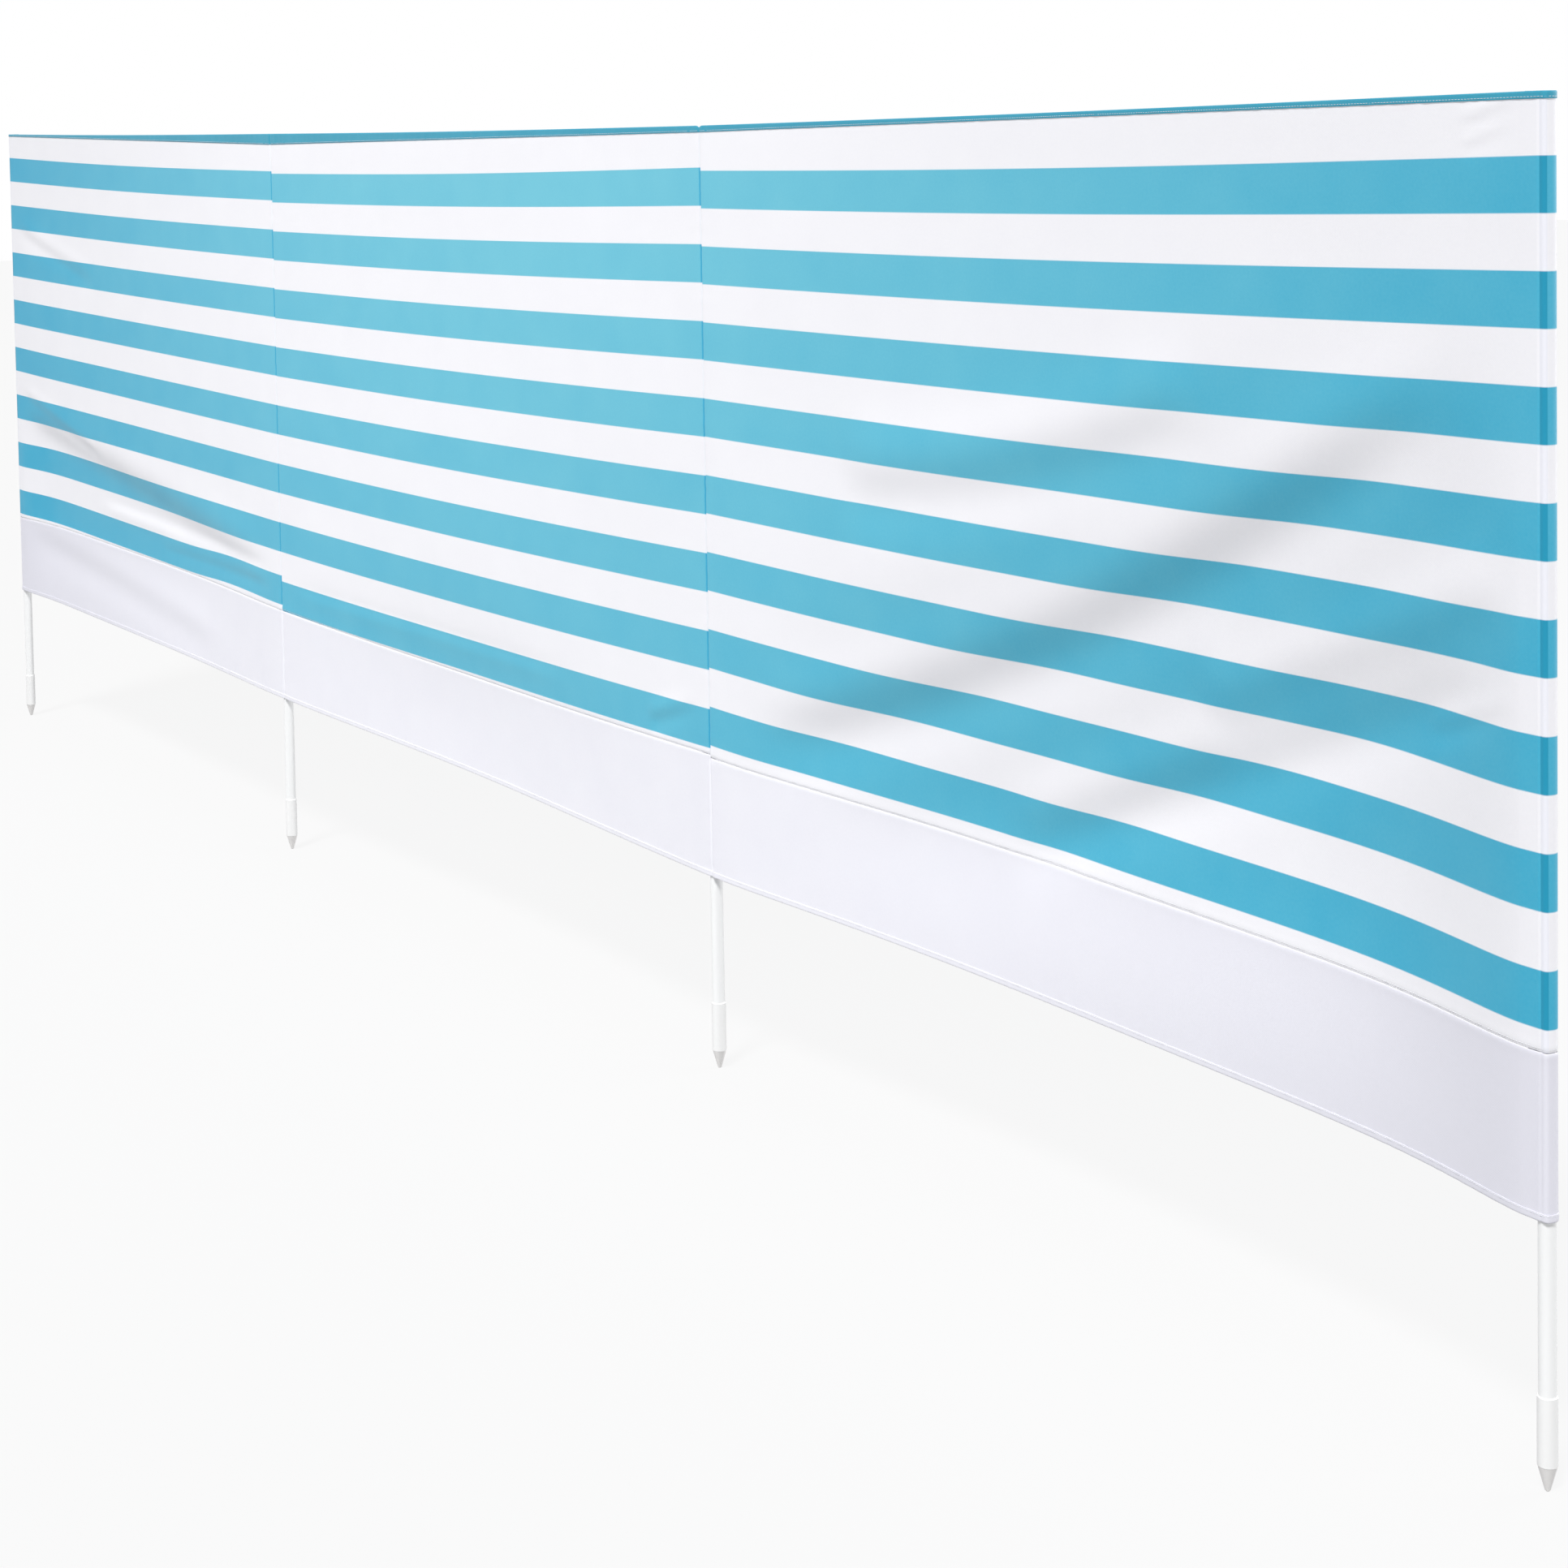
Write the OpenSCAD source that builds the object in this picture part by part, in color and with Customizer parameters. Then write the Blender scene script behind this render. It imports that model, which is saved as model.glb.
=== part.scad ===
// Beach windbreak: striped cloth in bays, held by slim poles that are pushed into the sand.
// Millimetres. X runs along the row from the first pole, the front faces -Y and Z is up.
// The origin is on the blunt end of the first pole.

/* [Row] */
// Distance between pole axes, which is the length of one bay
bay_len = 1650; // [900:10:2000]
// Height of the cloth, from the bottom of the skirt to the top edge
cloth_h = 1200; // [700:10:1600]
// Bare pole below the cloth, most of which goes into the sand
pole_below = 315; // [180:10:500]

/* [Poles] */
// Outside diameter of the pole tube
tube_d = 20; // [14:0.5:32]
// Wall of the pole tube
tube_wall = 1.2; // [0.6:0.1:2.5]
// Gap between the top of a pole and the closed top of its pocket
pole_top_gap = 30; // [4:1:40]
// Wall of the plastic foot sleeve, which fits over the tube
sleeve_wall = 1.3; // [0.8:0.1:4]
// Length of the plastic foot sleeve
sleeve_len = 76; // [30:1:150]
// Length of the driving tip below the sleeve
tip_len = 29; // [15:1:60]
// Diameter of the blunt end of the tip
tip_end_d = 4; // [3:0.5:12]
// Length of the tip's plug inside the tube
plug_len = 35; // [15:1:80]

/* [Cloth] */
// Thickness of one layer of cloth
cloth_t = 1.2; // [0.6:0.1:3]
// Radial play between a pole and its pocket
pocket_play = 0.5; // [0.2:0.1:3]
// Distance from a pole's axis to where the cloth of its pocket meets the cloth of the bay
seam_x = 30; // [20:1:60]
// Clearance between a middle pole's pocket and the cloth that swings around it
swing_gap = 6; // [5:0.5:15]
// Height of the folded hem along the top
top_hem_h = 20; // [8:1:50]
// Height of the plain skirt below the stripes
skirt_h = 190; // [60:5:400]
// Height of the folded hem along the bottom of the skirt
skirt_hem_h = 9; // [5:1:30]

/* [Billow] */
// Depth of the first bay's hollow, towards +Y
hollow_1 = 10; // [0:1:80]
// Depth of the second bay's hollow, towards +Y
hollow_2 = 12; // [0:1:80]
// Depth of the third bay's hollow, towards +Y
hollow_3 = 55; // [0:1:80]

/* [Hidden] */
$fn = 64;
BAYS = 3;
COLUMNS = 20;
PANEL_ROWS = 10;
SKIRT_ROWS = 3;
SLEEVE_LIP = 1;
TIP_ROUND = 1.2;
TOP_SLACK = 0.15;
SLACK_TURN = 120;
hollows = [hollow_1, hollow_2, hollow_3];
tube_r = tube_d / 2;
bore_r = tube_r - tube_wall;
sleeve_r = tube_r + sleeve_wall;
pocket_in = tube_r + pocket_play;
pocket_out = pocket_in + cloth_t;
cloth_bottom = pole_below;
cloth_top = cloth_bottom + cloth_h;
tube_top = cloth_top - pole_top_gap;
skirt_top = cloth_bottom + skirt_h;
hem_bottom = cloth_top - top_hem_h;
front_y = -(pocket_in + cloth_t / 2);

// ---- poles ----
function pole_x(pole) = (pole - 1) * bay_len;

module at_pole(pole) {
    translate([pole_x(pole), 0, 0])
        children();
}

module ring(outer, inner, bottom, top) {
    translate([0, 0, bottom])
        difference() {
            cylinder(r = outer, h = top - bottom);
            translate([0, 0, -1])
                cylinder(r = inner, h = top - bottom + 2);
        }
}

module tube(pole) {
    color("whitesmoke")
        at_pole(pole)
            ring(tube_r, bore_r, tip_len, tube_top);
}

module sleeve(pole) {
    color("white")
        at_pole(pole)
            rotate_extrude()
                polygon([
                    [tube_r, tip_len],
                    [sleeve_r, tip_len],
                    [sleeve_r, tip_len + sleeve_len],
                    [tube_r + SLEEVE_LIP / 2, tip_len + sleeve_len + SLEEVE_LIP],
                    [tube_r, tip_len + sleeve_len + SLEEVE_LIP]
                ]);
}

module tip(pole) {
    color("gainsboro")
        at_pole(pole)
            rotate_extrude()
                polygon([
                    [0, 0],
                    [tip_end_d / 2, 0],
                    [tip_end_d / 2 + TIP_ROUND, TIP_ROUND],
                    [sleeve_r - SLEEVE_LIP / 2, tip_len - SLEEVE_LIP],
                    [sleeve_r - SLEEVE_LIP / 2, tip_len],
                    [bore_r, tip_len],
                    [bore_r, tip_len + plug_len],
                    [0, tip_len + plug_len]
                ]);
}

// ---- pockets ----
// A pocket is a strip sewn behind flat cloth that passes in front of the pole. The flat cloth of the
// first pocket runs on into the first bay, and that of the others comes from the bay before.
module pocket_outline(pole) {
    left = pole == 1 ? 0 : seam_x;
    right = pole == 1 ? seam_x : pole == BAYS + 1 ? 0 : pocket_out;
    difference() {
        union() {
            circle(r = pocket_out);
            translate([-left, -pocket_out])
                square([left + right, cloth_t]);
        }
        circle(r = pocket_in);
    }
}

module pocket(pole) {
    color("skyblue")
        at_pole(pole) {
            translate([0, 0, skirt_top])
                linear_extrude(height = cloth_top - skirt_top)
                    pocket_outline(pole);
            translate([0, 0, cloth_top - cloth_t])
                cylinder(r = pocket_out, h = cloth_t);
        }
}

module skirt_pocket(pole) {
    color("ghostwhite")
        at_pole(pole)
            translate([0, 0, cloth_bottom])
                linear_extrude(height = skirt_top - cloth_bottom)
                    pocket_outline(pole);
}

// ---- cloth between the poles ----
// Where the cloth of a bay starts and ends.
function bay_start(bay) = pole_x(bay) + (bay == 1 ? seam_x : pocket_out + swing_gap);
function bay_end(bay) = pole_x(bay + 1) - seam_x;

// The cloth hollows between its poles, least at the taut top edge and most below the middle.
function slack(z) = TOP_SLACK + (1 - TOP_SLACK) * pow(sin(SLACK_TURN * (cloth_top - z) / cloth_h), 2);
function cloth_y(bay, s, z) =
    front_y + hollows[bay - 1] * slack(z) * pow(sin(180 * s), 1.5);

// A sheet of one bay between two heights, as a closed solid with rows of points front and back.
module sheet(bay, bottom, top, rows, thickness) {
    across = COLUMNS + 1;
    layer = across * (rows + 1);
    points = [
        for (side = [-1, 1])
            for (r = [0:rows])
                for (c = [0:COLUMNS])
                    let (s = c / COLUMNS)
                    let (z = bottom + (top - bottom) * r / rows)
                    [
                        bay_start(bay) + (bay_end(bay) - bay_start(bay)) * s,
                        cloth_y(bay, s, z) + side * thickness / 2,
                        z
                    ]
    ];
    front = [
        for (r = [0:rows - 1])
            for (c = [0:COLUMNS - 1])
                let (p = r * across + c)
                each [[p, p + across, p + across + 1], [p, p + across + 1, p + 1]]
    ];
    back = [for (f = front) [f[2] + layer, f[1] + layer, f[0] + layer]];
    low = [
        for (c = [0:COLUMNS - 1])
            each [[c, c + 1, c + 1 + layer], [c, c + 1 + layer, c + layer]]
    ];
    high_first = rows * across;
    high = [for (f = low) [f[2] + high_first, f[1] + high_first, f[0] + high_first]];
    left = [
        for (r = [0:rows - 1])
            let (p = r * across)
            each [[p, p + layer, p + layer + across], [p, p + layer + across, p + across]]
    ];
    right = [for (f = left) [f[2] + COLUMNS, f[1] + COLUMNS, f[0] + COLUMNS]];
    polyhedron(points = points, faces = concat(front, back, low, high, left, right), convexity = 4);
}

module panel(bay) {
    color("deepskyblue")
        sheet(bay, skirt_top, hem_bottom, PANEL_ROWS, cloth_t);
}

module top_hem(bay) {
    color("steelblue")
        sheet(bay, hem_bottom, cloth_top, 1, 2 * cloth_t);
}

module skirt(bay) {
    color("ghostwhite")
        sheet(bay, cloth_bottom + skirt_hem_h, skirt_top, SKIRT_ROWS, cloth_t);
}

module skirt_hem(bay) {
    color("lavender")
        sheet(bay, cloth_bottom, cloth_bottom + skirt_hem_h, 1, 2 * cloth_t);
}

tube(1);  // pole_1_tube
sleeve(1);  // pole_1_sleeve
tip(1);  // pole_1_tip
tube(2);  // pole_2_tube
sleeve(2);  // pole_2_sleeve
tip(2);  // pole_2_tip
tube(3);  // pole_3_tube
sleeve(3);  // pole_3_sleeve
tip(3);  // pole_3_tip
tube(4);  // pole_4_tube
sleeve(4);  // pole_4_sleeve
tip(4);  // pole_4_tip
pocket(1);  // pocket_1
pocket(2);  // pocket_2
pocket(3);  // pocket_3
pocket(4);  // pocket_4
skirt_pocket(1);  // skirt_pocket_1
skirt_pocket(2);  // skirt_pocket_2
skirt_pocket(3);  // skirt_pocket_3
skirt_pocket(4);  // skirt_pocket_4
panel(1);  // panel_1
panel(2);  // panel_2
panel(3);  // panel_3
top_hem(1);  // top_hem_1
top_hem(2);  // top_hem_2
top_hem(3);  // top_hem_3
skirt(1);  // skirt_1
skirt(2);  // skirt_2
skirt(3);  // skirt_3
skirt_hem(1);  // skirt_hem_1
skirt_hem(2);  // skirt_hem_2
skirt_hem(3);  // skirt_hem_3
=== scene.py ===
# Looks of the beach windbreak: three bays of striped cloth between four pole pockets.
# Metres, in the frame of the CAD part: X along the row, front to -Y, Z up.
import math

import bpy
import numpy as np
from mathutils import Matrix, Vector


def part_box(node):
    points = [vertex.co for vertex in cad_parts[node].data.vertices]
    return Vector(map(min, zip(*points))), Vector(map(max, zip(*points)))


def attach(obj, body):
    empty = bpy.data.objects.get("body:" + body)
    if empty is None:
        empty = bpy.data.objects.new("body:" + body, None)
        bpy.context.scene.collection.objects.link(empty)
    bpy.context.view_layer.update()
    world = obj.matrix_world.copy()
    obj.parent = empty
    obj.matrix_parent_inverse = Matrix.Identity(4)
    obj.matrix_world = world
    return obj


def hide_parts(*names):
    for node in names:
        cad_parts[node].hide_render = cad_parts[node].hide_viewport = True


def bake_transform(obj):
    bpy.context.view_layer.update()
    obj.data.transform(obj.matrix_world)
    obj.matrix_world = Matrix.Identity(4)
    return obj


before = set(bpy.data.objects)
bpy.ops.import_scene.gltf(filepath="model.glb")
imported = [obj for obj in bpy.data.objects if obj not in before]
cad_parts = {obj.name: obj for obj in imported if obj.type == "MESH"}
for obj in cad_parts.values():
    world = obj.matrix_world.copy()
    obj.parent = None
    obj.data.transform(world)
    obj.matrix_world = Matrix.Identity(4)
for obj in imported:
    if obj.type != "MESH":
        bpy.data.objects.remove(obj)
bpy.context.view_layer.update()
rng = np.random.default_rng(20)

# ---- sizes taken from the CAD part ----
tubes = [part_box(f"pole_{n}_tube") for n in (1, 2, 3, 4)]
POLE_X = [(low.x + high.x) / 2 for low, high in tubes]
POLE_R = (tubes[0][1].x - tubes[0][0].x) / 2
BAY = POLE_X[1] - POLE_X[0]
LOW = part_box("skirt_pocket_1")[0].z            # the bottom of the cloth
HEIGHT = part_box("pocket_1")[1].z - LOW

# ---- sizes of the cloth ----
WRAP_R = POLE_R + 0.0013       # middle of the cloth where it passes round a pole
FRONT = -WRAP_R                # the flat cloth passes in front of the poles
CLOTH = 0.0006                 # thickness of one layer
CUT = 0.025                    # the cloth that bends at a hinge reaches this far from the pole axis
JOIN = 0.005                   # the seam between two bays, from the pole axis
STRIP_FOOT = 0.018             # where the strip behind a pole is sewn on, from the pole axis
FOOT_Y = FRONT + 0.0009        # the feet of that strip lie against the back of the flat cloth
FOOT_STITCH = STRIP_FOOT + 0.002
FOLD = 0.0008                  # half the gap between the two layers of a hem
HEM_CLOTH = 0.0005             # thickness of one layer of a hem
SKIRT_HEM = 0.009
STRIPES = 15                   # eight blue and seven white bands
BAND = 0.06                    # height of a band, for turning the stripe coordinate into metres
THREADS = 1100                 # threads of the weave in a metre

# ---- flat sizes of the sheets, across the row ----
PANEL_FLAT = 0.985             # striped cloth, from the seam of the skirt to the top
SKIRT_FLAT = 0.190

# The long edges of the cloth: heights above its bottom at the four poles, and the sag between two poles.
TOP_EDGE = ((1.195, 1.182, 1.18, 1.198), 0.002)
HEM_EDGE = ((1.19, 1.16, 1.17, 1.19), 0.0)
BOTTOM_EDGE = ((0.015, 0.005, -0.005, -0.015), 0.003)

# Each bay's stripes. The first and the last stripe's edge and the seam of the skirt have a height at the
# bay's two poles and a sag. The middle stripes stand above an even spacing by bow, and a tuck in the last
# white band lifts what is below it towards the right pole.
BAYS = {
    1: dict(first=(1.135, 1.105, 0.005), last=(0.215, 0.19, 0.0), seam=(0.205, 0.19, 0.0),
            bow=0.003, tuck=0.012),
    2: dict(first=(1.10, 1.115, 0.005), last=(0.19, 0.20, 0.008), seam=(0.19, 0.19, 0.01),
            bow=0.005, tuck=0.0),
    3: dict(first=(1.11, 1.13, 0.005), last=(0.205, 0.195, 0.005), seam=(0.185, 0.17, 0.005),
            bow=0.006, tuck=0.0),
}
TUCK_START = 0.75              # share of the bay's length where the tuck comes in
TUCK_BAND = 13.4               # stripe coordinate at which it lifts the cloth


# ---- small helpers ----
def step(x, centre, width):
    """A smooth step from 0 to 1."""
    return 1 / (1 + np.exp(-np.clip((x - centre) / width, -40, 40)))


def bump(x, centre, width):
    return np.exp(-(((x - centre) / width) ** 2))


def rise(x, length, power=1.5):
    """0 at 0, and 1 well beyond length."""
    return 1 - np.exp(-((np.clip(x, 0, None) / length) ** power))


# ---- how the cloth hangs ----
def edge_height(x, edge):
    """The height of a long edge above the bottom of the cloth, level beyond the end poles."""
    at_poles, sag = edge
    u = np.clip((x - POLE_X[0]) / BAY, 0, len(BAYS))
    return np.interp(u, range(len(at_poles)), at_poles) - sag * np.abs(np.sin(np.pi * u))


def bay_share(bay, x):
    return np.clip((x - POLE_X[bay - 1]) / BAY, 0, 1)


def along(bay, what, x):
    left, right, sag = BAYS[bay][what]
    s = bay_share(bay, x)
    return left + (right - left) * s - sag * np.sin(np.pi * s)


def seam_z(bay, x):
    return LOW + along(bay, "seam", x)


def stripe(bay, x, z):
    """The stripe coordinate: 0 at the first blue edge, 15 at the last, and one unit for each band."""
    first, last, bow = along(bay, "first", x), along(bay, "last", x), BAYS[bay]["bow"]
    tuck = BAYS[bay]["tuck"] * step(bay_share(bay, x), TUCK_START, 0.04)

    def even(height):
        q = (LOW + first - height) / (first - last)
        inside = np.clip(q, 0, 1)
        return STRIPES * (q + 4 * inside * (1 - inside) * bow / (first - last))

    return even(z - tuck * step(even(z), TUCK_BAND, 0.08))


def fold_line(s, t, start, stop, sag, slope, width, end=0.08):
    """A fold from start to stop, which are (s, t) places, along a line that sags between them. Its face
    leans by this slope, down and back if positive, and its two flanks lean a little the other way. It
    fades at its ends."""
    best, along_line = np.full(np.shape(s), 9.0), np.zeros(np.shape(s))
    signed = np.zeros(np.shape(s))
    (s0, t0), (s1, t1) = start, stop
    p = [((s0 + (s1 - s0) * k) * BAY, (t0 + (t1 - t0) * k + 4 * sag * k * (1 - k)) * HEIGHT)
         for k in np.linspace(0, 1, 7)]
    total = sum(math.dist(a, b) for a, b in zip(p, p[1:]))
    x, z, run = s * BAY, t * HEIGHT, 0.0
    for a, b in zip(p, p[1:]):
        ex, ez = b[0] - a[0], b[1] - a[1]
        length = math.hypot(ex, ez)
        k = np.clip(((x - a[0]) * ex + (z - a[1]) * ez) / length**2, 0, 1)
        d = np.hypot(x - a[0] - k * ex, z - a[1] - k * ez)
        below = ((z - a[1]) * ex - (x - a[0]) * ez) / length * (1 if ex > 0 else -1)
        nearer = d < best
        best = np.where(nearer, d, best)
        signed = np.where(nearer, np.sign(below) * d, signed)
        along_line = np.where(nearer, run + k * length, along_line)
        run += length
    fade = rise(along_line, end * total, 2) * rise(total - along_line, end * total, 2)
    return slope * signed * np.exp(-((best / width) ** 2)) * fade


# Each bay's folds: where the fold starts and stops, in shares of the bay's length and of the cloth's height
# from the top, how far its line sags in shares of that height, the slope of its face, and its width.
FOLDS = {
    1: [((0.0, 0.60), (1.0, 0.78), 0.0, 0.16, 0.052),
        ((0.3, 0.75), (1.0, 0.78), 0.0, -0.20, 0.018),
        ((0.55, 0.80), (1.0, 0.80), 0.0, 0.20, 0.014),
        ((0.0, 0.85), (0.8, 0.95), 0.0, 0.11, 0.042),
        ((0.0, 0.20), (0.35, 0.30), 0.0, 0.16, 0.022),
        ((0.0, 0.55), (0.35, 0.65), 0.0, 0.20, 0.018)],
    2: [((0.0, 0.80), (0.75, 0.80), 0.0, -0.16, 0.014),
        ((0.9, 0.82), (1.0, 0.78), 0.0, 0.30, 0.016)],
    3: [((0.7, 0.30), (0.2, 0.45), 0.03, 0.18, 0.056),
        ((0.95, 0.25), (0.05, 0.80), 0.06, 0.235, 0.060),
        ((1.0, 0.45), (0.65, 0.65), 0.0, 0.22, 0.046),
        ((1.0, 0.50), (0.4, 0.85), 0.0, 0.23, 0.050),
        ((1.0, 0.55), (0.9, 0.60), 0.0, 0.20, 0.014),
        ((1.0, 0.01), (0.95, 0.03), 0.0, 0.45, 0.009),
        ((1.0, 0.03), (0.95, 0.05), 0.0, 0.40, 0.009)],
}


def depth(bay, x, z):
    """How far the cloth of a bay hollows towards +Y behind the plane of its poles."""
    s = np.clip((x - POLE_X[bay - 1] - CUT) / (BAY - 2 * CUT), 0, 1)
    t = (LOW + HEIGHT - z) / HEIGHT
    if bay == 1:
        # a hollow below a line that falls to the right, shallower again in the skirt
        onset = t - (0.595 + 0.18 * s)
        h = 0.022 * rise(s, 0.08) * rise(1 - s, 0.2) * step(onset, 0.01, 0.026)
        h = h * (1 - 0.42 * step(t, 0.92, 0.03))
    elif bay == 2:
        # the skirt hangs a little behind the taut stripes
        h = 0.018 * np.sin(np.pi * s) ** 1.5 * step(t, 0.84, 0.05)
    else:
        # two steps back below a line that rises to the right, and a skirt that leans back beneath them
        onset = t - (0.79 - 0.5 * s)
        steps = 0.040 * step(onset, 0.01, 0.050) + 0.020 * step(onset, 0.18, 0.040)
        h = steps * rise(s, 0.2) * rise(1 - s, 0.12) * (1 - 0.5 * step(t, 0.9, 0.05))
        h = h + 0.05 * np.clip(t - 0.84, 0, None) * HEIGHT * rise(1 - s, 0.07) * rise(s, 0.6)
    h = h + 0.003 * np.sin(np.pi * s) ** 1.5 * rise(t, 0.1)
    for fold in FOLDS[bay]:
        h = h + fold_line(s, t, *fold) * rise(s, 0.03) * rise(1 - s, 0.03)
    return h + waves(bay, x, z) * rise(s, 0.06) * rise(1 - s, 0.06)


WAVES = [
    (rng.uniform(2.0, 9.0), rng.uniform(2.0, 11.0) * rng.choice([-1, 1]), rng.uniform(0, 6.3),
     rng.uniform(0.4, 1.0))
    for _ in range(18)
]
PUCKERS = [(rng.uniform(120, 420), rng.uniform(0, 6.3), rng.uniform(0.4, 1.0)) for _ in range(9)]
WAVE_HEIGHT = 0.00028


def waves(bay, x, z):
    """Low, broad unevenness of thin cloth."""
    return sum(WAVE_HEIGHT * a * np.sin(kx * x + kz * z + bay + p) for kx, kz, p, a in WAVES)


def pucker(along, across, reach=0.016, height=0.00035):
    """Short wrinkles that a line of stitches draws in, fading with the distance from it."""
    wrinkle = sum(a * np.sin(k * along + p) for k, p, a in PUCKERS) / 3
    return height * wrinkle * np.exp(-np.abs(across) / reach)


# ---- the path of the cloth in plan ----
# Angles: where the strip behind leaves the pole, from the front of an end pole round its far side to there,
# and from the front of an end pole to the stitched groove of its pocket.
STRIP_ANGLE = math.atan2(FOOT_Y, STRIP_FOOT) + math.acos(WRAP_R / math.hypot(STRIP_FOOT, FOOT_Y))
TURN = 1.5 * math.pi - STRIP_ANGLE
END_GROOVE = math.radians(9)
TAIL = math.dist((WRAP_R * math.cos(STRIP_ANGLE), WRAP_R * math.sin(STRIP_ANGLE)), (STRIP_FOOT, FOOT_Y))
TURN_LENGTH = TURN * WRAP_R + TAIL


def round_pole(u, side):
    """Plan position and outward normal at u metres of cloth past the front of an end pole. side is -1 for
    pole 1 and +1 for pole 4."""
    angle = u / WRAP_R
    on = angle <= TURN
    a = np.where(on, angle, TURN)
    groove = -0.0007 * bump(a, END_GROOVE, math.radians(6)) + 0.0013 * bump(a, END_GROOVE + 0.55, 0.32)
    r = WRAP_R + groove
    nx, ny = np.sin(a), -np.cos(a)
    x, y = r * nx, r * ny
    beyond = np.where(on, 0, u - TURN * WRAP_R)
    x = x + beyond * np.cos(TURN)
    y = y + beyond * np.sin(TURN)
    return side * x, y, side * nx, ny


def place(bay, u, z):
    """Position and front normal of the cloth at u metres along the row, at height z."""
    shape = np.broadcast(u, z).shape
    u, z = np.broadcast_to(u, shape).astype(float), np.broadcast_to(z, shape).astype(float)
    x, y = u.copy(), np.full(shape, FRONT)
    nx, ny = np.zeros(shape), np.full(shape, -1.0)
    y = y + depth(bay, u, z)
    last = POLE_X[-1]
    if bay == 1:
        past = u < POLE_X[0]
        px, py, qx, qy = round_pole(np.clip(POLE_X[0] - u, 0, None), -1)
        x, y = np.where(past, POLE_X[0] + px, x), np.where(past, py, y)
        nx, ny = np.where(past, qx, nx), np.where(past, qy, ny)
    if bay == len(BAYS):
        past = u > last
        px, py, qx, qy = round_pole(np.clip(u - last, 0, None), 1)
        x, y = np.where(past, last + px, x), np.where(past, py, y)
        nx, ny = np.where(past, qx, nx), np.where(past, qy, ny)
    # stitches draw the cloth in beside the poles, and the two bays turn back into their seam
    for pole in POLE_X[1:3]:
        y = y + pucker(z, u - pole - JOIN) + 0.0016 * np.exp(-np.abs(u - pole - JOIN) / 0.0015)
    return x, y, nx, ny


# ---- meshes ----
ROW_STEP = 0.0085              # spacing of the rows up the cloth
BAY_STEP = 0.009               # spacing of the columns in a bay
NEAR_STEP = 0.003              # the same beside an end pole, as far from it as NEAR
NEAR = 0.03
ROUND_STEP = 0.0022 / 1.5      # round an end pole
TAIL_STEP = 0.004              # in the cloth that leaves its back
BAND_STEP = 0.0025             # beside a middle pole
SEAM_STEP = 0.0007             # beside the seam of two bays, as far from it as SEAM_NEAR
SEAM_NEAR = 0.004
SEAM_GAP = 0.0002              # from the seam to the first column on either side
END_COLUMN = 0.0001            # width of the very narrow columns at a piece's two ends
STRIP_ROWS = {"striped": 110, "plain": 24}


def shell(name, P, uv, thickness=CLOTH):
    """A closed sheet: a front and a back layer over a grid of points, joined by a rim. P[row, column] runs up
    and to the right as seen from the front."""
    rows, cols = P.shape[:2]
    du = np.gradient(P, axis=1)
    dv = np.gradient(P, axis=0)
    n = np.cross(du, dv)
    n /= np.linalg.norm(n, axis=2, keepdims=True) + 1e-12
    half = n * thickness / 2
    points = np.concatenate([(P + half).reshape(-1, 3), (P - half).reshape(-1, 3)])
    layer = rows * cols
    index = np.arange(layer).reshape(rows, cols)
    corners = (index[:-1, :-1], index[:-1, 1:], index[1:, 1:], index[1:, :-1])
    front = np.stack([corner.ravel() for corner in corners], 1)
    back = front[:, ::-1] + layer
    loop = np.concatenate([index[0, :-1], index[:-1, -1], index[-1, :0:-1], index[:0:-1, 0]])
    after = np.roll(loop, -1)
    rim = np.stack([after, loop, loop + layer, after + layer], 1)
    faces = np.concatenate([front, back, rim])
    mesh = bpy.data.meshes.new(name)
    mesh.vertices.add(len(points))
    mesh.vertices.foreach_set("co", points.ravel())
    mesh.loops.add(faces.size)
    mesh.loops.foreach_set("vertex_index", faces.ravel().astype(np.int32))
    mesh.polygons.add(len(faces))
    mesh.polygons.foreach_set("loop_start", np.arange(0, faces.size, 4, dtype=np.int32))
    smooth = np.ones(len(faces), bool)
    smooth[len(front) * 2:] = False
    mesh.update(calc_edges=True)
    mesh.polygons.foreach_set("use_smooth", smooth)
    both = np.concatenate([uv.reshape(-1, 2), uv.reshape(-1, 2)])
    layer_uv = mesh.uv_layers.new(name="cloth")
    layer_uv.data.foreach_set("uv", both[faces.ravel()].ravel().astype(np.float32))
    mesh.validate()
    obj = bpy.data.objects.new(name, mesh)
    bpy.context.scene.collection.objects.link(obj)
    return obj


def spaced(length, size):
    return max(2, int(round(length / size)) + 1)


def columns(*parts):
    """Positions along the row: parts are (from, to, spacing). Very narrow end columns keep a piece's rim from
    tinting the shading beside it."""
    out = [np.linspace(a, b, spaced(abs(b - a), size)) for a, b, size in parts]
    inner = np.concatenate([out[0]] + [o[1:] for o in out[1:]])
    low, high = [inner[0] + END_COLUMN], [inner[-1] - END_COLUMN]
    return np.concatenate([inner[:1], low, inner[1:-1], high, inner[-1:]])


def near_ends(length, size, fine=(0, 0.0008, 0.0018, 0.003, 0.0045, 0.0065, 0.010, 0.015)):
    """Heights as shares of a length, with close rows at both ends."""
    low = np.array([f for f in fine if f < length / 3])
    high = length - low[::-1]
    middle = np.linspace(low[-1], high[0], spaced(high[0] - low[-1], size))
    return np.unique(np.round(np.concatenate([low, middle, high]), 6)) / length


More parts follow.
